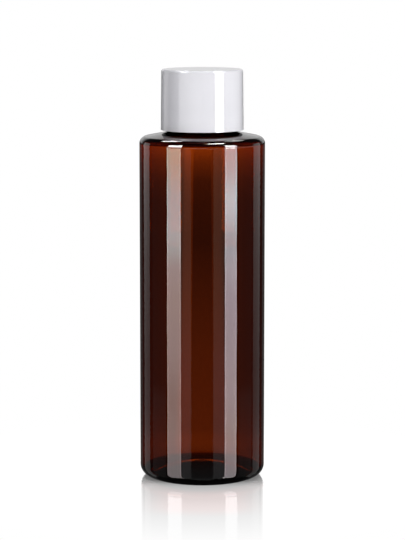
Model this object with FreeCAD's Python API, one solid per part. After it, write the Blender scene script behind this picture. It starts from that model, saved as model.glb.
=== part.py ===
"""A see-through round bottle with a smooth screw cap, in millimetres.

The bottle stands on the plane z = 0 with its axis on +Z, and the origin is the centre of
its standing ring. It is one thin shell with a pushed-up base, a rounded heel, a straight
wall, a nearly flat shoulder and a threaded neck. The cap is screwed down on the neck: its
own thread lies under the neck's, and its skirt ends just above the shoulder.
"""
import FreeCAD, Part
import math
import os

from FreeCAD import Vector

os.makedirs("parts", exist_ok=True)

# Bottle: overall sizes
body_diameter = 40.0
shoulder_height = 107.5  # where the straight wall ends and the shoulder's rounding starts
neck_height = 18.3  # from the shoulder to the rim

# Bottle: walls
body_wall = 0.6
shoulder_wall = 0.85
base_wall = 1.35
ring_wall = 0.9
neck_wall = 1.4

# Bottle: rounding and slopes
heel_radius = 3.6
push_up_height = 2.6
push_up_edge_radius = 1.6
standing_ring_width = 1.6
shoulder_radius = 2.4
shoulder_slope = 11.2  # degrees above level, rising to the neck
neck_root_radius = 0.9
rim_radius = 0.4
gate_mark_radius = 1.3
gate_mark_height = 0.35

# Neck thread, right-handed
neck_diameter = 21.54
thread_diameter = 23.7
thread_pitch = 3.175
thread_turns = 1.5
thread_start_depth = 1.2  # from the rim down to the thread's upper edge
rib_root_share = 0.6  # of the pitch, at the wall that carries the rib
rib_tip_share = 0.28  # of the pitch, at the rib's crest

# Cap
cap_wall = 1.15
cap_top_wall = 1.45
cap_draft = 0.21  # how much smaller the cap's outer radius is at its top
cap_top_radius = 0.65
cap_mouth_radius = 0.2
cap_corner_radius = 0.6

# Clearances between the two pieces
cap_shoulder_gap = 1.05
cap_thread_gap = 0.17  # from the neck's thread out to the cap's bore
cap_rib_gap = 0.2  # from the cap's thread in to the neck
rib_flank_gap = 0.15
seal_gap = 0.05

body_radius = body_diameter / 2
neck_radius = neck_diameter / 2
thread_radius = thread_diameter / 2
rib_root_width = thread_pitch * rib_root_share
rib_tip_width = thread_pitch * rib_tip_share
smallest_rounding = 0.1
rib_root_depth = 0.25  # how far a thread rib reaches into the wall that carries it


def on_plane(radius, height):
    """A point of an outline, in the half plane y = 0."""
    return Vector(radius, 0, height)


def straight(start, end):
    return Part.LineSegment(start, end).toShape()


def arc_about(centre, start, end):
    """The shorter arc from start to end about centre."""
    middle = (start + end) * 0.5 - centre
    middle.normalize()
    on_arc = centre + middle * (start - centre).Length
    return Part.Arc(start, on_arc, end).toShape()


def rounded_path(corners):
    """Edges through corners of (radius, height, rounding); the first and last aren't rounded."""
    edges = []
    last = on_plane(*corners[0][:2])
    for before, corner, after in zip(corners, corners[1:], corners[2:]):
        point = on_plane(*corner[:2])
        back = on_plane(*before[:2]) - point
        ahead = on_plane(*after[:2]) - point
        half_angle = back.getAngle(ahead) / 2
        back.normalize()
        ahead.normalize()
        reach = corner[2] / math.tan(half_angle)
        bisector = back + ahead
        bisector.normalize()
        centre = point + bisector * (corner[2] / math.sin(half_angle))
        start = point + back * reach
        end = point + ahead * reach
        edges.append(straight(last, start))
        edges.append(arc_about(centre, start, end))
        last = end
    edges.append(straight(last, on_plane(*corners[-1][:2])))
    return edges


def revolved(edges):
    """The solid that a closed outline sweeps about the Z axis."""
    outline = Part.Wire(Part.__sortEdges__(edges))
    return Part.Face(outline).revolve(Vector(0, 0, 0), Vector(0, 0, 1), 360)


def push_up_arcs(dome_radius, dome_centre, edge_radius, edge_height):
    """A dome about the axis, its tangent edge rounding, and the level point where that ends.

    The edge is an arc tangent to the dome and to the level line at edge_height.
    """
    edge_centre_height = edge_height + edge_radius
    rise = edge_centre_height - dome_centre.z
    edge_centre = on_plane(math.sqrt((dome_radius + edge_radius) ** 2 - rise**2), edge_centre_height)
    outward = edge_centre - dome_centre
    outward.normalize()
    top = dome_centre + Vector(0, 0, dome_radius)
    meeting = dome_centre + outward * dome_radius
    level = on_plane(edge_centre.x, edge_height)
    edges = [arc_about(dome_centre, top, meeting), arc_about(edge_centre, meeting, level)]
    return edges, level


def shoulder_top(radius):
    """The height of the shoulder's slope at a radius, carried on as a straight line."""
    slope = math.radians(shoulder_slope)
    turn = math.pi / 2 - slope
    fillet_end_radius = body_radius - shoulder_radius + shoulder_radius * math.cos(turn)
    fillet_end_height = shoulder_height + shoulder_radius * math.sin(turn)
    return fillet_end_height + (fillet_end_radius - radius) * math.tan(slope)


neck_root_height = shoulder_top(neck_radius)
rim_height = neck_root_height + neck_height
thread_middle_height = rim_height - thread_start_depth - rib_root_width / 2


def thread_rib(wall_radius, crest_radius, top_height):
    """A right-handed rib on the wall at wall_radius, rooted in it by rib_root_depth.

    Its upper end's middle is at top_height, and it winds down thread_turns to +X.
    """
    drop = thread_pitch * thread_turns
    bottom = top_height - drop
    crest = rib_tip_width / 2
    widening = (rib_root_width - rib_tip_width) / 2 / abs(wall_radius - crest_radius)
    root = rib_root_width / 2 + widening * rib_root_depth
    root_radius = wall_radius + math.copysign(rib_root_depth, wall_radius - crest_radius)
    path = Part.makeHelix(thread_pitch, drop, root_radius)
    path.translate(Vector(0, 0, bottom))
    section = Part.makePolygon(
        [
            on_plane(root_radius, bottom - root),
            on_plane(crest_radius, bottom - crest),
            on_plane(crest_radius, bottom + crest),
            on_plane(root_radius, bottom + root),
            on_plane(root_radius, bottom - root),
        ]
    )
    return Part.Wire(path).makePipeShell([section], True, True)


def bottle_shell():
    edge = push_up_edge_radius
    ring_inner_radius = body_radius - heel_radius - standing_ring_width
    below = edge - push_up_height
    dome_radius = (ring_inner_radius**2 + below**2 - edge**2) / (2 * push_up_height)
    dome_centre = on_plane(0, push_up_height - dome_radius)

    under, ring_inner = push_up_arcs(dome_radius, dome_centre, edge, 0)
    floor, floor_ring = push_up_arcs(dome_radius + base_wall, dome_centre, edge, ring_wall)

    slope = math.tan(math.radians(shoulder_slope))
    inner_radius = body_radius - body_wall
    bore_radius = neck_radius - neck_wall
    inner_heel_radius = max(heel_radius - body_wall, smallest_rounding)
    inner_shoulder_radius = max(shoulder_radius - body_wall, smallest_rounding)
    inner_root_radius = neck_root_radius + shoulder_wall
    inner_drop = shoulder_wall / math.cos(math.radians(shoulder_slope))

    outside = rounded_path(
        [
            (ring_inner.x, 0, 0),
            (body_radius, 0, heel_radius),
            (body_radius, shoulder_top(body_radius), shoulder_radius),
            (neck_radius, neck_root_height, neck_root_radius),
            (neck_radius, rim_height, rim_radius),
            (bore_radius, rim_height, rim_radius),
            (bore_radius, shoulder_top(bore_radius) - inner_drop, inner_root_radius),
            (inner_radius, shoulder_top(inner_radius) - inner_drop, inner_shoulder_radius),
            (inner_radius, ring_wall, inner_heel_radius),
            (floor_ring.x, ring_wall, 0),
        ]
    )
    axis = straight(on_plane(0, push_up_height + base_wall), on_plane(0, push_up_height))
    return revolved(under + outside + floor + [axis])


def gate_mark():
    """The round stub under the middle of the base, where the moulding was cut from its runner."""
    root = push_up_height + base_wall / 2
    tip = push_up_height - gate_mark_height
    edges = rounded_path(
        [
            (0, tip, 0),
            (gate_mark_radius, tip, gate_mark_height / 2),
            (gate_mark_radius, root, smallest_rounding),
            (0, root, 0),
        ]
    )
    edges.append(straight(on_plane(0, root), on_plane(0, tip)))
    return revolved(edges)


def bottle():
    thread = thread_rib(neck_radius, thread_radius, thread_middle_height)
    return bottle_shell().fuse([gate_mark(), thread]).removeSplitter()


def cap_shell():
    bore_radius = thread_radius + cap_thread_gap
    mouth_radius = bore_radius + cap_wall
    top_radius = mouth_radius - cap_draft
    mouth_height = shoulder_top(mouth_radius) + cap_shoulder_gap
    land_height = rim_height + seal_gap
    top_height = land_height + cap_top_wall
    edges = rounded_path(
        [
            (0, top_height, 0),
            (top_radius, top_height, cap_top_radius),
            (mouth_radius, mouth_height, cap_mouth_radius),
            (bore_radius, mouth_height, cap_mouth_radius),
            (bore_radius, land_height, cap_corner_radius),
            (0, land_height, 0),
        ]
    )
    edges.append(straight(on_plane(0, land_height), on_plane(0, top_height)))
    return revolved(edges)


def cap():
    flank_shift = (rib_root_width + rib_tip_width) / 2 + rib_flank_gap
    thread = thread_rib(
        thread_radius + cap_thread_gap,
        neck_radius + cap_rib_gap,
        thread_middle_height - flank_shift,
    )
    return cap_shell().fuse(thread).removeSplitter()


for name, make in {"bottle": bottle, "cap": cap}.items():
    solid = make()
    box = solid.BoundBox
    print(name, len(solid.Solids), solid.isValid(), round(solid.Volume, 1), "mm3")
    print("  x", round(box.XMin, 3), round(box.XMax, 3), "z", round(box.ZMin, 3), round(box.ZMax, 3))
    solid.exportStep("parts/" + name + ".step")
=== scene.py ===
"""Looks of a see-through amber bottle with a white screw cap, in metres."""
import math

import bpy
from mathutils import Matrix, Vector


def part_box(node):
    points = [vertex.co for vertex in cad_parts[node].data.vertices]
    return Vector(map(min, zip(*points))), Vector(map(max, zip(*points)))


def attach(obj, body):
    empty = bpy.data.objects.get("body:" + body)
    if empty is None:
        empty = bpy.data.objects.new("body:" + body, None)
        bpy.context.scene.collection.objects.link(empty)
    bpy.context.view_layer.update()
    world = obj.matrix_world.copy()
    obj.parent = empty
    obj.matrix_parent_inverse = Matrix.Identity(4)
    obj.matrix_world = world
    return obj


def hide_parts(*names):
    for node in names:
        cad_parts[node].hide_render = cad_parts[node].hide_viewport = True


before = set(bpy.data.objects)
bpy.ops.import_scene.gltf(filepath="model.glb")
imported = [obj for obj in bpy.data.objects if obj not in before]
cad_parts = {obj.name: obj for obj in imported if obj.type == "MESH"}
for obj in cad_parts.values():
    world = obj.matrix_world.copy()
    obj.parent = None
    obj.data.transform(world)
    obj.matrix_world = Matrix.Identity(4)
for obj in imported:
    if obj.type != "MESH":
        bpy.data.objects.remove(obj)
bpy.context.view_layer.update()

MM = 0.001

# Sizes that the frame gives
bottle_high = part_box("bottle")[1]
cap_low, cap_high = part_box("cap")
body_radius = bottle_high[0]
rim_height = bottle_high[2]
cap_mouth_radius = cap_high[0]
cap_mouth_height = cap_low[2]
cap_top_height = cap_high[2]

# Bottle
shoulder_height = 107.5 * MM
heel_radius = 3.6 * MM
push_up_height = 2.6 * MM
push_up_edge_radius = 1.6 * MM
standing_ring_width = 1.6 * MM
shoulder_radius = 2.4 * MM
shoulder_slope = math.radians(11.2)
neck_root_radius = 0.9 * MM
rim_radius = 0.4 * MM
body_wall = 0.6 * MM
shoulder_wall = 0.85 * MM
base_wall = 1.35 * MM
ring_wall = 0.9 * MM
neck_wall = 1.4 * MM
neck_radius = 10.77 * MM
gate_mark_radius = 1.3 * MM
gate_mark_height = 0.35 * MM
gate_mark_chamfer = 0.1 * MM

# Thread of the neck and of the cap
thread_radius = 11.85 * MM
thread_pitch = 3.175 * MM
thread_turns = 1.5
thread_start_depth = 1.2 * MM
rib_root_width = 0.6 * thread_pitch
rib_crest_width = 0.28 * thread_pitch
rib_flank_gap = 0.15 * MM
cap_rib_gap = 0.2 * MM
thread_fade = 0.08  # of a turn, at each end

# Cap
cap_thread_gap = 0.17 * MM
seal_gap = 0.05 * MM
cap_bore_radius = thread_radius + cap_thread_gap
cap_draft = 0.21 * MM
cap_top_radius = 0.65 * MM
cap_mouth_rounding = 0.06 * MM
cap_corner_radius = 0.6 * MM
cap_land_height = rim_height + seal_gap

# Mesh fineness
segments = 288
arc_step = math.radians(5)
holding_distance = 0.12 * MM  # of the rings that keep a straight wall's shading straight
held_length = 8 * holding_distance  # of the shortest stretch that gets them
relief_step = 0.16 * MM
weld_distance = 0.002 * MM
same_radius = 0.0001 * MM


# Outlines: lists of (radius, height) in the half plane y = 0

def arc_points(centre, radius, start, end):
    """Points on an arc from the angle start to the angle end, in radians."""
    steps = max(2, math.ceil(abs(end - start) / arc_step))
    angles = [start + (end - start) * i / steps for i in range(steps + 1)]
    return [(centre[0] + radius * math.cos(a), centre[1] + radius * math.sin(a)) for a in angles]


def rounded_points(corners):
    """Points through corners of (radius, height, rounding); the first and last are plain."""
    points = [corners[0][:2]]
    for before, corner, after in zip(corners, corners[1:], corners[2:]):
        point = Vector(corner[:2])
        back = (Vector(before[:2]) - point).normalized()
        ahead = (Vector(after[:2]) - point).normalized()
        half_angle = back.angle(ahead) / 2
        centre = point + (back + ahead).normalized() * (corner[2] / math.sin(half_angle))
        reach = corner[2] / math.tan(half_angle)
        first = point + back * reach - centre
        last = point + ahead * reach - centre
        start = math.atan2(first.y, first.x)
        turn = math.remainder(math.atan2(last.y, last.x) - start, math.tau)
        points += arc_points(centre, corner[2], start, start + turn)
    points.append(corners[-1][:2])
    return points


def with_holding_rings(points):
    """The outline with a point just inside each end of its longer straight stretches."""
    held = [points[0]]
    for start, end in zip(points, points[1:]):
        along = Vector(end) - Vector(start)
        if along.length > held_length:
            step = along.normalized() * holding_distance
            held += [tuple(Vector(start) + step), tuple(Vector(end) - step)]
        held.append(end)
    return held


def push_up_points(dome_radius, dome_height, edge_radius, edge_height):
    """A dome from the axis outwards and its tangent edge, which ends level at edge_height."""
    centre_height = edge_height + edge_radius
    reach = dome_radius + edge_radius
    rise = centre_height - dome_height
    tilt = math.asin(rise / reach)
    edge_centre = (reach * math.cos(tilt), centre_height)
    dome = arc_points((0, dome_height), dome_radius, math.pi / 2, tilt)
    edge = arc_points(edge_centre, edge_radius, tilt - math.pi, -math.pi / 2)
    return dome + edge[1:]


def shoulder_top(radius):
    """The height of the shoulder's slope at a radius, carried on as a straight line."""
    turn = math.pi / 2 - shoulder_slope
    fillet_end = body_radius - shoulder_radius + shoulder_radius * math.cos(turn)
    height = shoulder_height + shoulder_radius * math.sin(turn)
    return height + (fillet_end - radius) * math.tan(shoulder_slope)


def evenly_between(start, end, step):
    """Points from start towards end, both left out."""
    count = max(2, round((Vector(end) - Vector(start)).length / step))
    return [tuple(Vector(start).lerp(Vector(end), i / count)) for i in range(1, count)]


def bottle_outline():
    """The closed outline of the shell, from the axis under the base round to the axis inside."""
    edge = push_up_edge_radius
    ring_inner = body_radius - heel_radius - standing_ring_width
    below = edge - push_up_height
    dome_radius = (ring_inner**2 + below**2 - edge**2) / (2 * push_up_height)
    dome_height = push_up_height - dome_radius
    under = push_up_points(dome_radius, dome_height, edge, 0)
    floor = push_up_points(dome_radius + base_wall, dome_height, edge, ring_wall)
    gate_tip = push_up_height - gate_mark_height
    gate = [
        (0, gate_tip),
        (gate_mark_radius - gate_mark_chamfer, gate_tip),
        (gate_mark_radius, gate_tip + gate_mark_chamfer),
    ]
    under = gate + [p for p in under if p[0] > gate_mark_radius + gate_mark_chamfer / 2]

    inner_radius = body_radius - body_wall
    bore_radius = neck_radius - neck_wall
    inner_drop = shoulder_wall / math.cos(shoulder_slope)
    wall = rounded_points(
        [
            (ring_inner, 0, 0),
            (body_radius, 0, heel_radius),
            (body_radius, shoulder_top(body_radius), shoulder_radius),
            (neck_radius, shoulder_top(neck_radius), neck_root_radius),
            (neck_radius, rim_height, rim_radius),
            (bore_radius, rim_height, rim_radius),
            (bore_radius, shoulder_top(bore_radius) - inner_drop, neck_root_radius + shoulder_wall),
            (inner_radius, shoulder_top(inner_radius) - inner_drop, shoulder_radius - body_wall),
            (inner_radius, ring_wall, heel_radius - body_wall),
            (floor[-1][0], ring_wall, 0),
        ]
    )
    return with_holding_rings(under[:-1] + wall[1:-1] + floor[::-1])


def cap_outline():
    """The closed outline of the cap, from the axis on top round to the axis under the top."""
    top_radius = cap_mouth_radius - cap_draft
    return with_holding_rings(
        rounded_points(
            [
                (0, cap_top_height, 0),
                (top_radius, cap_top_height, cap_top_radius),
                (cap_mouth_radius, cap_mouth_height, cap_mouth_rounding),
                (cap_bore_radius, cap_mouth_height, cap_mouth_rounding),
                (cap_bore_radius, cap_land_height, cap_corner_radius),
                (0, cap_land_height, 0),
            ]
        )
    )


def with_relief_rings(points, radius, low, high):
    """The outline with close rings on its straight wall at radius, and each point's share of relief."""
    full = []
    for start, end in zip(points, points[1:] + points[-1:]):
        full.append(start)
        upright = max(abs(start[0] - radius), abs(end[0] - radius)) < same_radius
        if upright and abs(end[1] - start[1]) > 2 * relief_step:
            full += evenly_between(start, end, relief_step)
    share = [float(abs(r - radius) < same_radius and low < z < high) for r, z in full]
    return full, share


# Node trees: sums and products of sockets written as Python expressions

class Term:
    """A socket of a node tree whose arithmetic adds Math nodes."""

    def __init__(self, tree, socket):
        self.tree = tree
        self.socket = socket

    def math(self, operation, *others):
        """The result of a Math node that has this socket first."""
        return self.tree.add("ShaderNodeMath", {"operation": operation}, [self, *others])

    def __add__(self, other):
        return self.math("ADD", other)

    def __sub__(self, other):
        return self.math("SUBTRACT", other)

    def __rsub__(self, other):
        return self.tree.add("ShaderNodeMath", {"operation": "SUBTRACT"}, [other, self])

    def __mul__(self, other):
        return self.math("MULTIPLY", other)

    def __truediv__(self, other):
        return self.math("DIVIDE", other)

    def __abs__(self):
        return self.math("ABSOLUTE")

    __radd__ = __add__
    __rmul__ = __mul__

    def at_most(self, other):
        return self.math("MINIMUM", other)

    def at_least(self, other):
        return self.math("MAXIMUM", other)

    def smooth(self, low, high):
        """0 below low, 1 above high, and a smooth step between."""
        settings = {"interpolation_type": "SMOOTHSTEP"}
        return self.tree.add("ShaderNodeMapRange", settings, {0: self, 1: low, 2: high})

    def band(self, low, high, soft):
        """1 between low and high, falling to 0 over soft outside them."""
        return self.smooth(low - soft, low) * (1 - self.smooth(high, high + soft))


class Nodes:
    """A node tree with one method that adds a node, sets it and links it."""

    def __init__(self, tree):
        self.tree = tree

    def add(self, kind, settings=None, values=None, output=0):
        node = self.tree.nodes.new(kind)
        for name, value in (settings or {}).items():
            if name == "stops":
                self.set_stops(node.color_ramp, value)
            else:
                setattr(node, name, value)
        pairs = values.items() if isinstance(values, dict) else enumerate(values or [])
        for key, value in pairs:
            if isinstance(value, Term):
                self.tree.links.new(value.socket, node.inputs[key])
            else:
                node.inputs[key].default_value = value
        return Term(self, node.outputs[output]) if node.outputs else None

    def set_stops(self, ramp, stops):
        """Give a colour ramp its (place, level or colour) pairs."""
        while len(ramp.elements) > 1:
            ramp.elements.remove(ramp.elements[-1])
        for i, (place, colour) in enumerate(stops):
            element = ramp.elements[0] if i == 0 else ramp.elements.new(place)
            element.position = place
            element.color = (*colour, 1) if isinstance(colour, tuple) else (colour, colour, colour, 1)

    def mixed(self, share, first, second):
        """The colour that is first where share is 0 and second where it is 1."""
        colours = [c if isinstance(c, Term) else (*c, 1) for c in (first, second)]
        values = {0: share, 6: colours[0], 7: colours[1]}
        return self.add("ShaderNodeMix", {"data_type": "RGBA"}, values, output=2)

    def outputs_of(self, kind, settings=None, values=None):
        """Every output of a new node, by name."""
        node = self.add(kind, settings, values).socket.node
        return {s.name: Term(self, s) for s in node.outputs}


# Lathe: a tree that turns an outline about the Z axis and raises a thread on it

def thread_relief(angle, height, size):
    """How far the thread stands out at an angle and a height, in metres."""
    relief = 0
    for turn in range(math.ceil(thread_turns)):
        turns = angle / math.tau + turn
        middle = size["Thread top"] - turns * thread_pitch
        flank = rib_root_width / 2 - abs(height - middle)
        rise = flank.smooth(0, (rib_root_width - rib_crest_width) / 2)
        fade = turns.band(thread_fade, thread_turns - thread_fade, thread_fade)
        relief = (rise * fade).at_least(relief)
    return relief * size["Thread height"]


def lathe_tree():
    """The tree: a grid with a row for each point of the outline and a column for each step round."""
    tree = bpy.data.node_groups.new("lathe with thread", "GeometryNodeTree")
    nodes = Nodes(tree)
    sockets = tree.interface
    sockets.new_socket("Outline", in_out="INPUT", socket_type="NodeSocketGeometry")
    for name, kind in (
        ("Outline points", "NodeSocketInt"),
        ("Segments", "NodeSocketInt"),
        ("Thread top", "NodeSocketFloat"),
        ("Thread height", "NodeSocketFloat"),
        ("Material", "NodeSocketMaterial"),
    ):
        sockets.new_socket(name, in_out="INPUT", socket_type=kind)
    sockets.new_socket("Piece", in_out="OUTPUT", socket_type="NodeSocketGeometry")

    given = nodes.outputs_of("NodeGroupInput")
    index = nodes.add("GeometryNodeInputIndex")
    column = (index / given["Outline points"]).math("FLOOR")
    row = index - column * given["Outline points"]
    angle = column.math("MODULO", given["Segments"]) / given["Segments"] * math.tau

    def sampled(data_type, value):
        return nodes.add(
            "GeometryNodeSampleIndex",
            {"data_type": data_type},
            {"Geometry": given["Outline"], "Value": value, "Index": row},
        )

    position = sampled("FLOAT_VECTOR", nodes.add("GeometryNodeInputPosition"))
    place = nodes.outputs_of("ShaderNodeSeparateXYZ", None, [position])
    share = nodes.add("GeometryNodeInputNamedAttribute", {"data_type": "FLOAT"}, {"Name": "relief"})
    relief = thread_relief(angle, place["Z"], given) * sampled("FLOAT", share)
    radius = place["X"] + relief
    turned = nodes.add(
        "ShaderNodeCombineXYZ",
        None,
        [radius * angle.math("COSINE"), radius * angle.math("SINE"), place["Z"]],
    )
    grid = nodes.add(
        "GeometryNodeMeshGrid",
        None,
        {"Vertices X": given["Segments"] + 1, "Vertices Y": given["Outline points"]},
    )
    shell = nodes.add("GeometryNodeSetPosition", None, {"Geometry": grid, "Position": turned})
    closed = nodes.add(
        "GeometryNodeMergeByDistance", None, {"Geometry": shell, "Distance": weld_distance}
    )
    smooth = nodes.add("GeometryNodeSetShadeSmooth", None, {"Geometry": closed})
    real = nodes.add("GeometryNodeRealizeInstances", None, {"Geometry": smooth})
    painted = nodes.add(
        "GeometryNodeSetMaterial", None, {"Geometry": real, "Material": given["Material"]}
    )
    nodes.add("NodeGroupOutput", None, [painted])
    return tree


def outline_mesh(name, points, share):
    mesh = bpy.data.meshes.new(name)
    edges = [(i, i + 1) for i in range(len(points) - 1)]
    mesh.from_pydata([(r, 0, z) for r, z in points], edges, [])
    relief = mesh.attributes.new("relief", "FLOAT", "POINT")
    relief.data.foreach_set("value", share)
    return mesh


def lathed(name, points, share, tree, thread_top, thread_height, material):
    """A plain mesh object: the outline turned about the Z axis, with its thread."""
    piece = bpy.data.objects.new(name, outline_mesh(name + " outline", points, share))
    bpy.context.scene.collection.objects.link(piece)
    lathe = piece.modifiers.new("lathe", "NODES")
    lathe.node_group = tree
    sizes = {
        "Outline points": len(points),
        "Segments": segments,
        "Thread top": thread_top,
        "Thread height": thread_height,
        "Material": material,
    }
    for item in tree.interface.items_tree:
        if item.in_out == "INPUT" and item.name in sizes:
            lathe[item.identifier] = sizes[item.name]
    evaluated = piece.evaluated_get(bpy.context.evaluated_depsgraph_get())
    mesh = bpy.data.meshes.new_from_object(evaluated)
    piece.modifiers.clear()
    piece.data = mesh
    mesh.name = name
    if signed_volume(mesh) < 0:
        mesh.flip_normals()
    return piece


def signed_volume(mesh):
    mesh.calc_loop_triangles()
    at = mesh.vertices
    corners = ([at[i].co for i in t.vertices] for t in mesh.loop_triangles)
    return sum(a.dot(b.cross(c)) for a, b, c in corners) / 6


# Materials. A pair named edge is where a smooth step starts and where it ends.

white = (1, 1, 1)

amber_index = 1.57
amber_absorption = (0.78, 0.47, 0.05, 1)
amber_density = 5600
amber_tints = ((1, 0.98, 0.95), white)
wave_relief = 0.006  # in millimetres, as the parting line's
parting_relief = 0.015
parting_edge = (0.05 * MM, 0.3 * MM)
amber_bump = 0.3
wave_scale = 55
streak_scale = 90
# Painted shade: what passes through is darkened in the base, which is higher inside the heel, and in the
# neck, where the bottle looks dark at its foot and under the cap
base_painted_shade = 0.8
base_edge = (1.6 * MM, 2.6 * MM)
base_rise = 2.4 * MM
heel_edge = (18.8 * MM, 19.3 * MM)
neck_painted_shade = 0.94
neck_edge = (109.3 * MM, 110.1 * MM)

cap_index = 1.49
cap_colour = (0.8, 0.793, 0.84)
# Painted light: the cap is lighter towards its mouth, fading over 8 mm, against the shade that the
# shoulder casts low on it
cap_mouth_painted_light = (0.88, 0.872, 0.92)
cap_painted_light_fade = 8 * MM
# Painted shade: the cap is near black inside, up to the underside of its top, and on the inner part of
# its mouth ring
cap_painted_shade_colour = (0.02, 0.02, 0.02)
cap_inside_edge = (12.3 * MM, 12.6 * MM)
cap_inside_fade = 0.1 * MM  # above the land
cap_bump = 0.08
grain_relief = 0.02 * MM
grain_scale = 1400
polish_scale = 70
least_roughness = 0.04
polish_roughness = 0.04


def new_material(name):
    material = bpy.data.materials.new(name)
    material.use_nodes = True
    material.node_tree.nodes.clear()
    return material, Nodes(material.node_tree)


def object_place(nodes):
    """The piece's own coordinates, in metres, with their three parts."""
    place = nodes.outputs_of("ShaderNodeTexCoord")["Object"]
    parts = nodes.outputs_of("ShaderNodeSeparateXYZ", None, [place])
    return place, parts["X"], parts["Y"], parts["Z"]


def distance_from_axis(x, y):
    return (x * x + y * y).math("SQRT")


def noise(nodes, place, scale, detail):
    return nodes.add("ShaderNodeTexNoise", None, {"Vector": place, "Scale": scale, "Detail": detail})


def amber_plastic():
    """Clear amber plastic: a faint parting line, uneven wall tint, barely wavy faces and painted shade
    in the base and neck.
    """
    material, nodes = new_material("clear amber plastic")
    place, x, y, z = object_place(nodes)
    waves = noise(nodes, place, wave_scale, 1.0)
    parting = 1 - abs(y).smooth(*parting_edge)
    height = waves * wave_relief + parting * parting_relief
    normal = nodes.add(
        "ShaderNodeBump", None, {"Strength": amber_bump, "Distance": 1 * MM, "Height": height}
    )
    streaks = noise(nodes, place, streak_scale, 3.0)
    # Painted shade: the tint is darkened in the base, higher inside the heel, and in the neck
    inside_heel = 1 - distance_from_axis(x, y).smooth(*heel_edge)
    base = 1 - (z - inside_heel * base_rise).smooth(*base_edge)
    neck = z.smooth(*neck_edge)
    tint = nodes.add(
        "ShaderNodeVectorMath",
        {"operation": "SCALE"},
        {0: nodes.mixed(streaks, *amber_tints), "Scale": 1 - base * base_painted_shade - neck * neck_painted_shade},
    )
    surface = nodes.add(
        "ShaderNodeBsdfPrincipled",
        None,
        {
            "Base Color": tint,
            "Roughness": 0.0,
            "IOR": amber_index,
            "Transmission Weight": 1.0,
            "Normal": normal,
        },
    )
    body = nodes.add(
        "ShaderNodeVolumeAbsorption", None, {"Color": amber_absorption, "Density": amber_density}
    )
    nodes.add("ShaderNodeOutputMaterial", None, {"Surface": surface, "Volume": body})
    return material


def white_plastic():
    """Glossy white plastic with a faint grain and slightly uneven polish, painted light low on the cap
    and painted shade inside it.
    """
    material, nodes = new_material("glossy white plastic")
    place, x, y, z = object_place(nodes)
    grain = noise(nodes, place, grain_scale, 2.0)
    polish = noise(nodes, place, polish_scale, 3.0)
    normal = nodes.add(
        "ShaderNodeBump", None, {"Strength": cap_bump, "Distance": grain_relief, "Height": grain}
    )
    # Painted shade inside the cap
    inside = 1 - distance_from_axis(x, y).smooth(*cap_inside_edge)
    inside = inside * (1 - z.smooth(cap_land_height, cap_land_height + cap_inside_fade))
    # Painted light low on the cap
    painted_light_near_mouth = 1 - z.smooth(cap_mouth_height, cap_mouth_height + cap_painted_light_fade)
    outside = nodes.mixed(painted_light_near_mouth, cap_colour, cap_mouth_painted_light)
    surface = nodes.add(
        "ShaderNodeBsdfPrincipled",
        None,
        {
            "Base Color": nodes.mixed(inside, outside, cap_painted_shade_colour),
            "Roughness": least_roughness + polish * polish_roughness,
            "IOR": cap_index,
            "Normal": normal,
        },
    )
    nodes.add("ShaderNodeOutputMaterial", None, {"Surface": surface})
    return material


# Studio floor

floor_reach = 30
matt_colour = (0.8, 0.8, 0.8, 1)
floor_lift = 0.2  # how much the shadow glows by itself
shadow_edge = (20 * MM, 36 * MM)
shadow_front = (-20 * MM, -8 * MM)
# Painted warm light: a reddish glow and tint on the floor in front of the bottle
painted_warm_tint = (1, 0.95, 0.945)
painted_warm_glow = (1, 0.3, 0.25, 1)
painted_warm_level = 0.065
warm_reach = (32 * MM, 46 * MM, 13 * MM)
warm_front = (-12 * MM, -4 * MM)
warm_side = (8 * MM, 21 * MM)
# How much the floor mirrors, by the distance in millimetres
mirror_levels = [(0, 1.0), (20, 1.0), (30, 0.72), (44, 0.48), (58, 0.3), (72, 0.16), (90, 0.0)]
mirror_ramp_reach = 100
mirror_roughness = 0.05
mirror_dimming = 0.5  # how much of the floor's own light a full mirror takes away
# Painted light and shade on the floor, seen only through the plastic: near black under the bottle for
# its shadow and mirror image, brighter further out.
# How bright the floor is through the plastic, by distance: in three bands that fan out behind the bottle
# from a point in front of it, which are straight behind, beside that, and further out
fan_distance = 0.72
middle_band_edge = (0.0056, 0.0061)
outer_band_edge = (0.0105, 0.014)
rear_edge = (-0.1, 0)
lean_edge = (-0.004, 0.004)
far_edge = (0.6, 1.2)
band_lean = 0.12  # how far the bands beside part, brighter on the left and darker on the right
far_band_lean = 0.13  # what is added to that far away
ramp_reach = 6.0
floor_painted_levels = [
    (0.0, (0.02, 0.02, 0.02)),
    (0.0205, (0.02, 0.02, 0.02)),
    (0.027, (0.60, 0.74, 0.50)),
    (0.045, (0.46, 0.52, 0.33)),
    (0.06, (0.36, 0.40, 0.22)),
    (0.12, (0.31, 0.40, 0.15)),
    (0.23, (0.27, 0.38, 0.13)),
    (0.36, (0.20, 0.335, 0.13)),
    (0.59, (0.10, 0.25, 0.12)),
    (0.80, (0.125, 0.30, 0.135)),
    (0.94, (0.18, 0.40, 0.21)),
    (1.09, (0.47, 0.66, 0.44)),
    (1.19, (0.88, 1.00, 0.74)),
    (1.30, (0.94, 1.00, 0.84)),
    (2.50, (0.94, 1.00, 0.86)),
    (6.00, (0.80, 0.90, 0.70)),
]
front_level = 0.8  # in front of the bottle, against behind it
front_edge = (0.03, 0.08)
foot_edge = (2 * MM, 12 * MM)


def not_bounced(nodes):
    """1 along rays that no matt surface has scattered, 0 along the rest."""
    return 1 - nodes.outputs_of("ShaderNodeLightPath")["Diffuse Depth"].at_most(1)


def emission(nodes, strength, colour=(*white, 1)):
    return nodes.add("ShaderNodeEmission", None, {"Color": colour, "Strength": strength})


def mixed_shaders(nodes, share, first, second):
    return nodes.add("ShaderNodeMixShader", None, {0: share, 1: first, 2: second})


def added_shaders(nodes, first, second):
    return nodes.add("ShaderNodeAddShader", None, [first, second])


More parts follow.
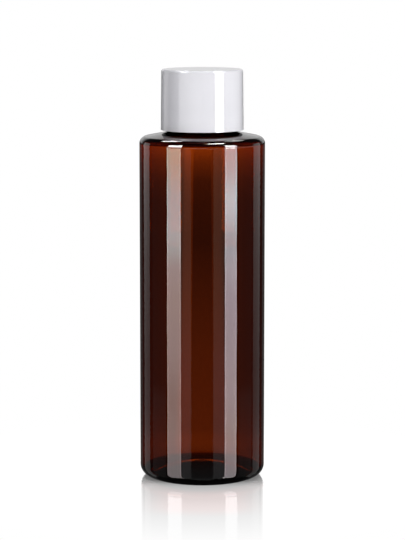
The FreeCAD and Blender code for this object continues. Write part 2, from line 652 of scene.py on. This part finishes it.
def painted_floor_through_plastic(nodes, x, y, distance):
    """How bright the floor is where the plastic shows it: painted shadow and reflection under the
    bottle, painted light further out.
    """
    stops = [(reach / ramp_reach, bands) for reach, bands in floor_painted_levels]
    ramp = nodes.add("ShaderNodeValToRGB", {"stops": stops}, [distance / ramp_reach])
    levels = nodes.outputs_of("ShaderNodeSeparateColor", None, [ramp])
    aside = x / (y + fan_distance)
    rear = y.smooth(*rear_edge)
    beside = abs(aside).smooth(*middle_band_edge).at_least(1 - rear)
    further = abs(aside).smooth(*outer_band_edge) * rear
    level = levels["Red"] * (1 - beside) + levels["Green"] * (beside * (1 - further))
    level = level + levels["Blue"] * further
    lean = band_lean + distance.smooth(*far_edge) * far_band_lean
    lean = (1 - aside.smooth(*lean_edge) * 2) * lean
    level = level * (1 + lean * beside * (1 - further))
    front = distance.smooth(*front_edge) * front_level
    return level * y.smooth(*foot_edge).at_least(front)


def floor_material():
    """White floor with a soft shadow, a short mirror image at the foot of what stands on it, painted
    warm light in front of it and painted light and shade seen through the plastic.
    """
    material, nodes = new_material("studio floor")
    place, x, y, _ = object_place(nodes)
    distance = nodes.outputs_of("ShaderNodeVectorMath", {"operation": "LENGTH"}, [place])["Value"]
    path = nodes.outputs_of("ShaderNodeLightPath")

    shaded = (1 - distance.smooth(*shadow_edge)) * y.smooth(*shadow_front)
    # Painted warm light on the floor in front of the bottle
    painted_warm_light = distance.band(*warm_reach) * (1 - y.smooth(*warm_front))
    painted_warm_light = painted_warm_light * (1 - abs(x).smooth(*warm_side))
    bright = emission(nodes, 1.0, nodes.mixed(painted_warm_light, white, painted_warm_tint))
    matt = nodes.add("ShaderNodeBsdfDiffuse", None, {"Color": matt_colour})
    shadow = added_shaders(nodes, matt, emission(nodes, floor_lift))
    lit = mixed_shaders(nodes, shaded, bright, shadow)

    stops = [(reach / mirror_ramp_reach, level) for reach, level in mirror_levels]
    share = nodes.add("ShaderNodeValToRGB", {"stops": stops}, [distance / (mirror_ramp_reach * MM)])
    mirror = nodes.add(
        "ShaderNodeBsdfAnisotropic",
        {"distribution": "GGX"},
        {"Color": (*white, 1), "Roughness": mirror_roughness},
    )
    black = emission(nodes, 0.0)
    lit = mixed_shaders(nodes, share * mirror_dimming, lit, black)
    mirror = mixed_shaders(nodes, share, black, mirror)
    seen = added_shaders(nodes, lit, mirror)
    seen = added_shaders(nodes, seen, emission(nodes, painted_warm_light * painted_warm_level, painted_warm_glow))

    # The floor's painted light and shadow, for rays through the plastic
    through = emission(nodes, painted_floor_through_plastic(nodes, x, y, distance) * not_bounced(nodes))
    other = mixed_shaders(nodes, path["Is Transmission Ray"], matt, through)
    surface = mixed_shaders(nodes, path["Is Camera Ray"], other, seen)
    nodes.add("ShaderNodeOutputMaterial", None, {"Surface": surface})
    return material


def studio_floor():
    mesh = bpy.data.meshes.new("studio floor")
    corners = [(x * floor_reach, y * floor_reach, 0) for x, y in ((-1, -1), (1, -1), (1, 1), (-1, 1))]
    mesh.from_pydata(corners, [], [(0, 1, 2, 3)])
    floor = bpy.data.objects.new("studio_floor", mesh)
    bpy.context.scene.collection.objects.link(floor)
    mesh.materials.append(floor_material())
    floor.visible_glossy = False


# Studio lights

card_steps = 12
rim_width = (0.042, 0.03)  # where a bright rim starts and is full, in radians from a card's edge
card_distance = 0.6
side_distance = 0.7
far_distance = 2.0
lamp_aim = Vector((0, 0, 0.09))

# Levels up each card: height, and radiance as one number or as red, green and blue
left_soft_levels = [
    (-0.45, (2.6, 2.35, 2.4)),
    (-0.125, (2.9, 2.5, 2.5)),
    (-0.109, (3.6, 2.8, 2.6)),
    (-0.09, (3.6, 2.6, 2.35)),
    (-0.06, (4.6, 3.5, 3.3)),
    (-0.03, (5.1, 3.9, 3.6)),
    (-0.012, (5.5, 4.35, 4.2)),
    (-0.004, (6.1, 5.6, 5.4)),
    (0.005, (6.0, 6.4, 6.5)),
    (0.028, (5.6, 6.0, 6.1)),
    (0.05, (5.4, 5.3, 4.3)),
    (0.058, (5.6, 5.8, 4.6)),
]
right_soft_levels = [
    (-0.45, (3.9, 3.6, 3.7)),
    (-0.15, (3.5, 3.25, 3.4)),
    (-0.128, (3.9, 3.3, 3.4)),
    (-0.109, (4.8, 4.0, 3.8)),
    (-0.086, (5.4, 4.5, 4.7)),
    (-0.03, (5.6, 4.8, 5.3)),
    (-0.012, (6.6, 6.0, 6.5)),
    (0.005, (5.7, 6.0, 6.4)),
    (0.017, (6.6, 8.2, 9.0)),
    (0.028, (7.3, 9.2, 9.8)),
    (0.045, (6.0, 6.5, 6.7)),
    (0.058, (5.6, 6.0, 6.2)),
]
low_front_levels = [(-0.8, 0.2), (-0.4, 0.15), (-0.2, 0.09), (-0.132, 0.09), (-0.118, 0.0)]
rear_levels = [
    (-0.6, 0.34),
    (-0.14, 0.33),
    (-0.12, 0.26),
    (-0.09, 0.25),
    (-0.03, 0.37),
    (0, 0.5),
    (0.02, 0.6),
    (0.045, 0.8),
    (0.3, 0.8),
]
inner_levels = [
    (-0.6, 0.3),
    (-0.09, (0.3, 0.3, 0.31)),
    (-0.05, (0.3, 0.29, 0.24)),
    (0.06, (0.31, 0.28, 0.2)),
]
side_levels = [(-0.6, 0.08), (-0.125, 0.1), (-0.11, 0.1), (-0.1, 0.05), (0.06, 0.05)]
flag_levels = [(-0.6, 0.08), (0.06, 0.08)]
right_rear_share = 0.88


def card(name, start, end, levels, distance=card_distance, rim=0.0, through=False):
    """A glowing card, bent about the bottle, that only reflections show.

    It spans the azimuths start to end, in degrees, and levels gives (height, radiance) pairs up it.
    rim is how much brighter its two upright edges are. through shows it through the plastic too.
    """
    low, high = levels[0][0], levels[-1][0]
    mesh = bpy.data.meshes.new(name)
    points = []
    for i in range(card_steps + 1):
        azimuth = math.radians(start + (end - start) * i / card_steps)
        x, y = distance * math.sin(azimuth), -distance * math.cos(azimuth)
        points += [(x, y, low), (x, y, high)]
    faces = [(2 * i, 2 * i + 2, 2 * i + 3, 2 * i + 1) for i in range(card_steps)]
    mesh.from_pydata(points, [], faces)
    panel = bpy.data.objects.new(name, mesh)
    bpy.context.scene.collection.objects.link(panel)
    mesh.materials.append(card_material(name, start, end, levels, rim))
    panel.visible_camera = False
    panel.visible_diffuse = False
    panel.visible_shadow = False
    panel.visible_volume_scatter = False
    panel.visible_transmission = through


def card_material(name, start, end, levels, rim):
    material, nodes = new_material(name)
    _, x, y, z = object_place(nodes)
    low, high = levels[0][0], levels[-1][0]
    colours = [(h, level if isinstance(level, tuple) else (level,) * 3) for h, level in levels]
    peak = max(max(colour) for _, colour in colours)
    stops = [((h - low) / (high - low), tuple(c / peak for c in colour)) for h, colour in colours]
    ramp = nodes.add("ShaderNodeValToRGB", {"stops": stops}, [(z - low) / (high - low)])
    strength = not_bounced(nodes) * peak
    if rim:
        azimuth = x.math("ARCTAN2", 0 - y)
        middle = math.radians((start + end) / 2)
        half = math.radians(abs(end - start) / 2)
        edge = abs(azimuth - middle).smooth(half - rim_width[0], half - rim_width[1])
        strength = strength * (1 + edge * rim)
    nodes.add("ShaderNodeOutputMaterial", None, {"Surface": emission(nodes, strength, ramp)})
    return material


def area_lamp(name, place, size, power):
    """A square lamp that lights matt surfaces alone."""
    light = bpy.data.lights.new(name, "AREA")
    light.shape = "SQUARE"
    light.size = size
    light.energy = power
    lamp = bpy.data.objects.new(name, light)
    lamp.location = place
    lamp.rotation_euler = (lamp_aim - Vector(place)).to_track_quat("-Z", "Y").to_euler()
    bpy.context.scene.collection.objects.link(lamp)
    lamp.visible_glossy = False
    lamp.visible_transmission = False
    lamp.visible_camera = False


def studio_lights():
    card("left soft light", -66.6, -39.3, left_soft_levels, rim=0.45, through=True)
    card("right soft light", 41.7, 65.2, right_soft_levels, rim=0.45, through=True)
    card("low front card", -20, 20, low_front_levels)
    card("left front card", -68, -5, [(-0.012, 2.4), (0.07, 2.4)], far_distance)
    card("front card", -5, 37, [(-0.012, 1.3), (0.07, 1.3)], far_distance)
    card("right cap light", 37, 61, [(-0.044, 24), (0.09, 24)], far_distance)
    card("right cap card", 61, 112, [(-0.044, 1.5), (0.09, 1.5)], far_distance)
    card("left upper light", -66, -38, [(0.12, 7), (0.2, 8), (0.25, 24), (0.52, 24)])
    card("right upper light", 43, 67.5, [(0.12, 7), (0.2, 8), (0.25, 22), (0.48, 22)])
    card("left rear top card", -168, -122, [(0.56, 12), (0.88, 12)], 0.4)
    card("right rear top card", 148, 178, [(0.48, 10), (0.76, 10)], 0.4)
    card("front top card", 15, 78, [(0.76, 100), (0.93, 100)], 0.35)
    for side, name in ((-1, "left"), (1, "right")):
        card(name + " inner card", side * 42, side * 20, inner_levels, side_distance)
        card(name + " side card", side * 70, side * 103, side_levels, side_distance)
        card(name + " flag", side * 145, side * 178, flag_levels, side_distance)
    card("left rear card", -112, -134, rear_levels, side_distance)
    right_rear_levels = [(z, level * right_rear_share) for z, level in rear_levels]
    card("right rear card", 107, 131.5, right_rear_levels, side_distance)
    area_lamp("key light", (0.75, -1.0, 0.25), 0.6, 9.5)
    area_lamp("left light", (-0.9, -0.7, 0.2), 0.6, 1.3)
    area_lamp("top light", (0, 0, 1.3), 1.2, 8)


# Surroundings

# How bright they are in reflections from behind, by the sine of their elevation
world_levels = [
    (0.0, 0.0),
    (0.02, 0.66),
    (0.1, 0.74),
    (0.2, 0.76),
    (0.3, 0.75),
    (0.36, 0.5),
    (0.45, 0.12),
    (0.6, 0.02),
]
least_level = 0.02
behind_edge = (0.75, 0.9)
sky_edge = (0.08, 0.2)
fill_edge = (-0.05, 0.3)
fill_level = 0.32  # on matt surfaces
sky_level = 1.2  # low in the sky, through the plastic


def studio_world():
    world = bpy.data.worlds.new("studio")
    world.use_nodes = True
    world.node_tree.nodes.clear()
    nodes = Nodes(world.node_tree)
    path = nodes.outputs_of("ShaderNodeLightPath")
    direction = nodes.outputs_of("ShaderNodeTexCoord")["Generated"]
    parts = nodes.outputs_of("ShaderNodeSeparateXYZ", None, [direction])
    up = parts["Z"]
    through = path["Is Transmission Ray"]
    reflected = nodes.add("ShaderNodeValToRGB", {"stops": world_levels}, [up])
    reflected = reflected * parts["Y"].smooth(*behind_edge) * (1 - through)
    sky = through * (1 - up.smooth(*sky_edge)) * sky_level
    level = reflected + least_level + sky
    fill = up.smooth(*fill_edge) * fill_level
    level = level + path["Diffuse Depth"].at_most(1) * (fill - level)
    level = level + path["Is Camera Ray"] * (1 - level)
    shade = nodes.add("ShaderNodeBackground", None, {"Color": (*white, 1), "Strength": level})
    nodes.add("ShaderNodeOutputWorld", None, {"Surface": shade})
    bpy.context.scene.world = world


# Camera

camera_place = Vector((0, -0.7212, 0.1692))
camera_aim = Vector((0.09 * MM, 0, 66.75 * MM))
lens = 151.35
sensor_width = 36


def studio_camera():
    data = bpy.data.cameras.new("camera")
    data.sensor_width = sensor_width
    data.lens = lens
    data.clip_end = 100
    camera = bpy.data.objects.new("camera", data)
    camera.location = camera_place
    camera.rotation_euler = (camera_aim - camera_place).to_track_quat("-Z", "Y").to_euler()
    bpy.context.scene.collection.objects.link(camera)
    bpy.context.scene.camera = camera


# Pieces

def bottle_shell(tree, thread_top):
    neck_low = shoulder_top(neck_radius) + neck_root_radius
    points, share = with_relief_rings(bottle_outline(), neck_radius, neck_low, rim_height - rim_radius)
    relief = thread_radius - neck_radius
    return lathed("bottle_shell", points, share, tree, thread_top, relief, amber_plastic())


def screw_cap(tree, thread_top):
    """The cap, whose rib lies between the turns of the neck's thread."""
    flank_shift = (rib_root_width + rib_crest_width) / 2 + rib_flank_gap
    bore_high = cap_land_height - cap_corner_radius
    points, share = with_relief_rings(cap_outline(), cap_bore_radius, cap_mouth_height, bore_high)
    relief = neck_radius + cap_rib_gap - cap_bore_radius
    rib_top = thread_top - flank_shift
    return lathed("screw_cap", points, share, tree, rib_top, relief, white_plastic())


def main():
    tree = lathe_tree()
    thread_top = rim_height - thread_start_depth - rib_root_width / 2
    bottle = bottle_shell(tree, thread_top)
    cap = screw_cap(tree, thread_top)
    for piece, node, slot in ((bottle, "bottle", "amber_plastic"), (cap, "cap", "white_plastic")):
        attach(piece, "root")
        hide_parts(node)
    studio_world()
    studio_floor()
    studio_lights()
    studio_camera()
    scene = bpy.context.scene
    scene.view_settings.view_transform = "Standard"


main()
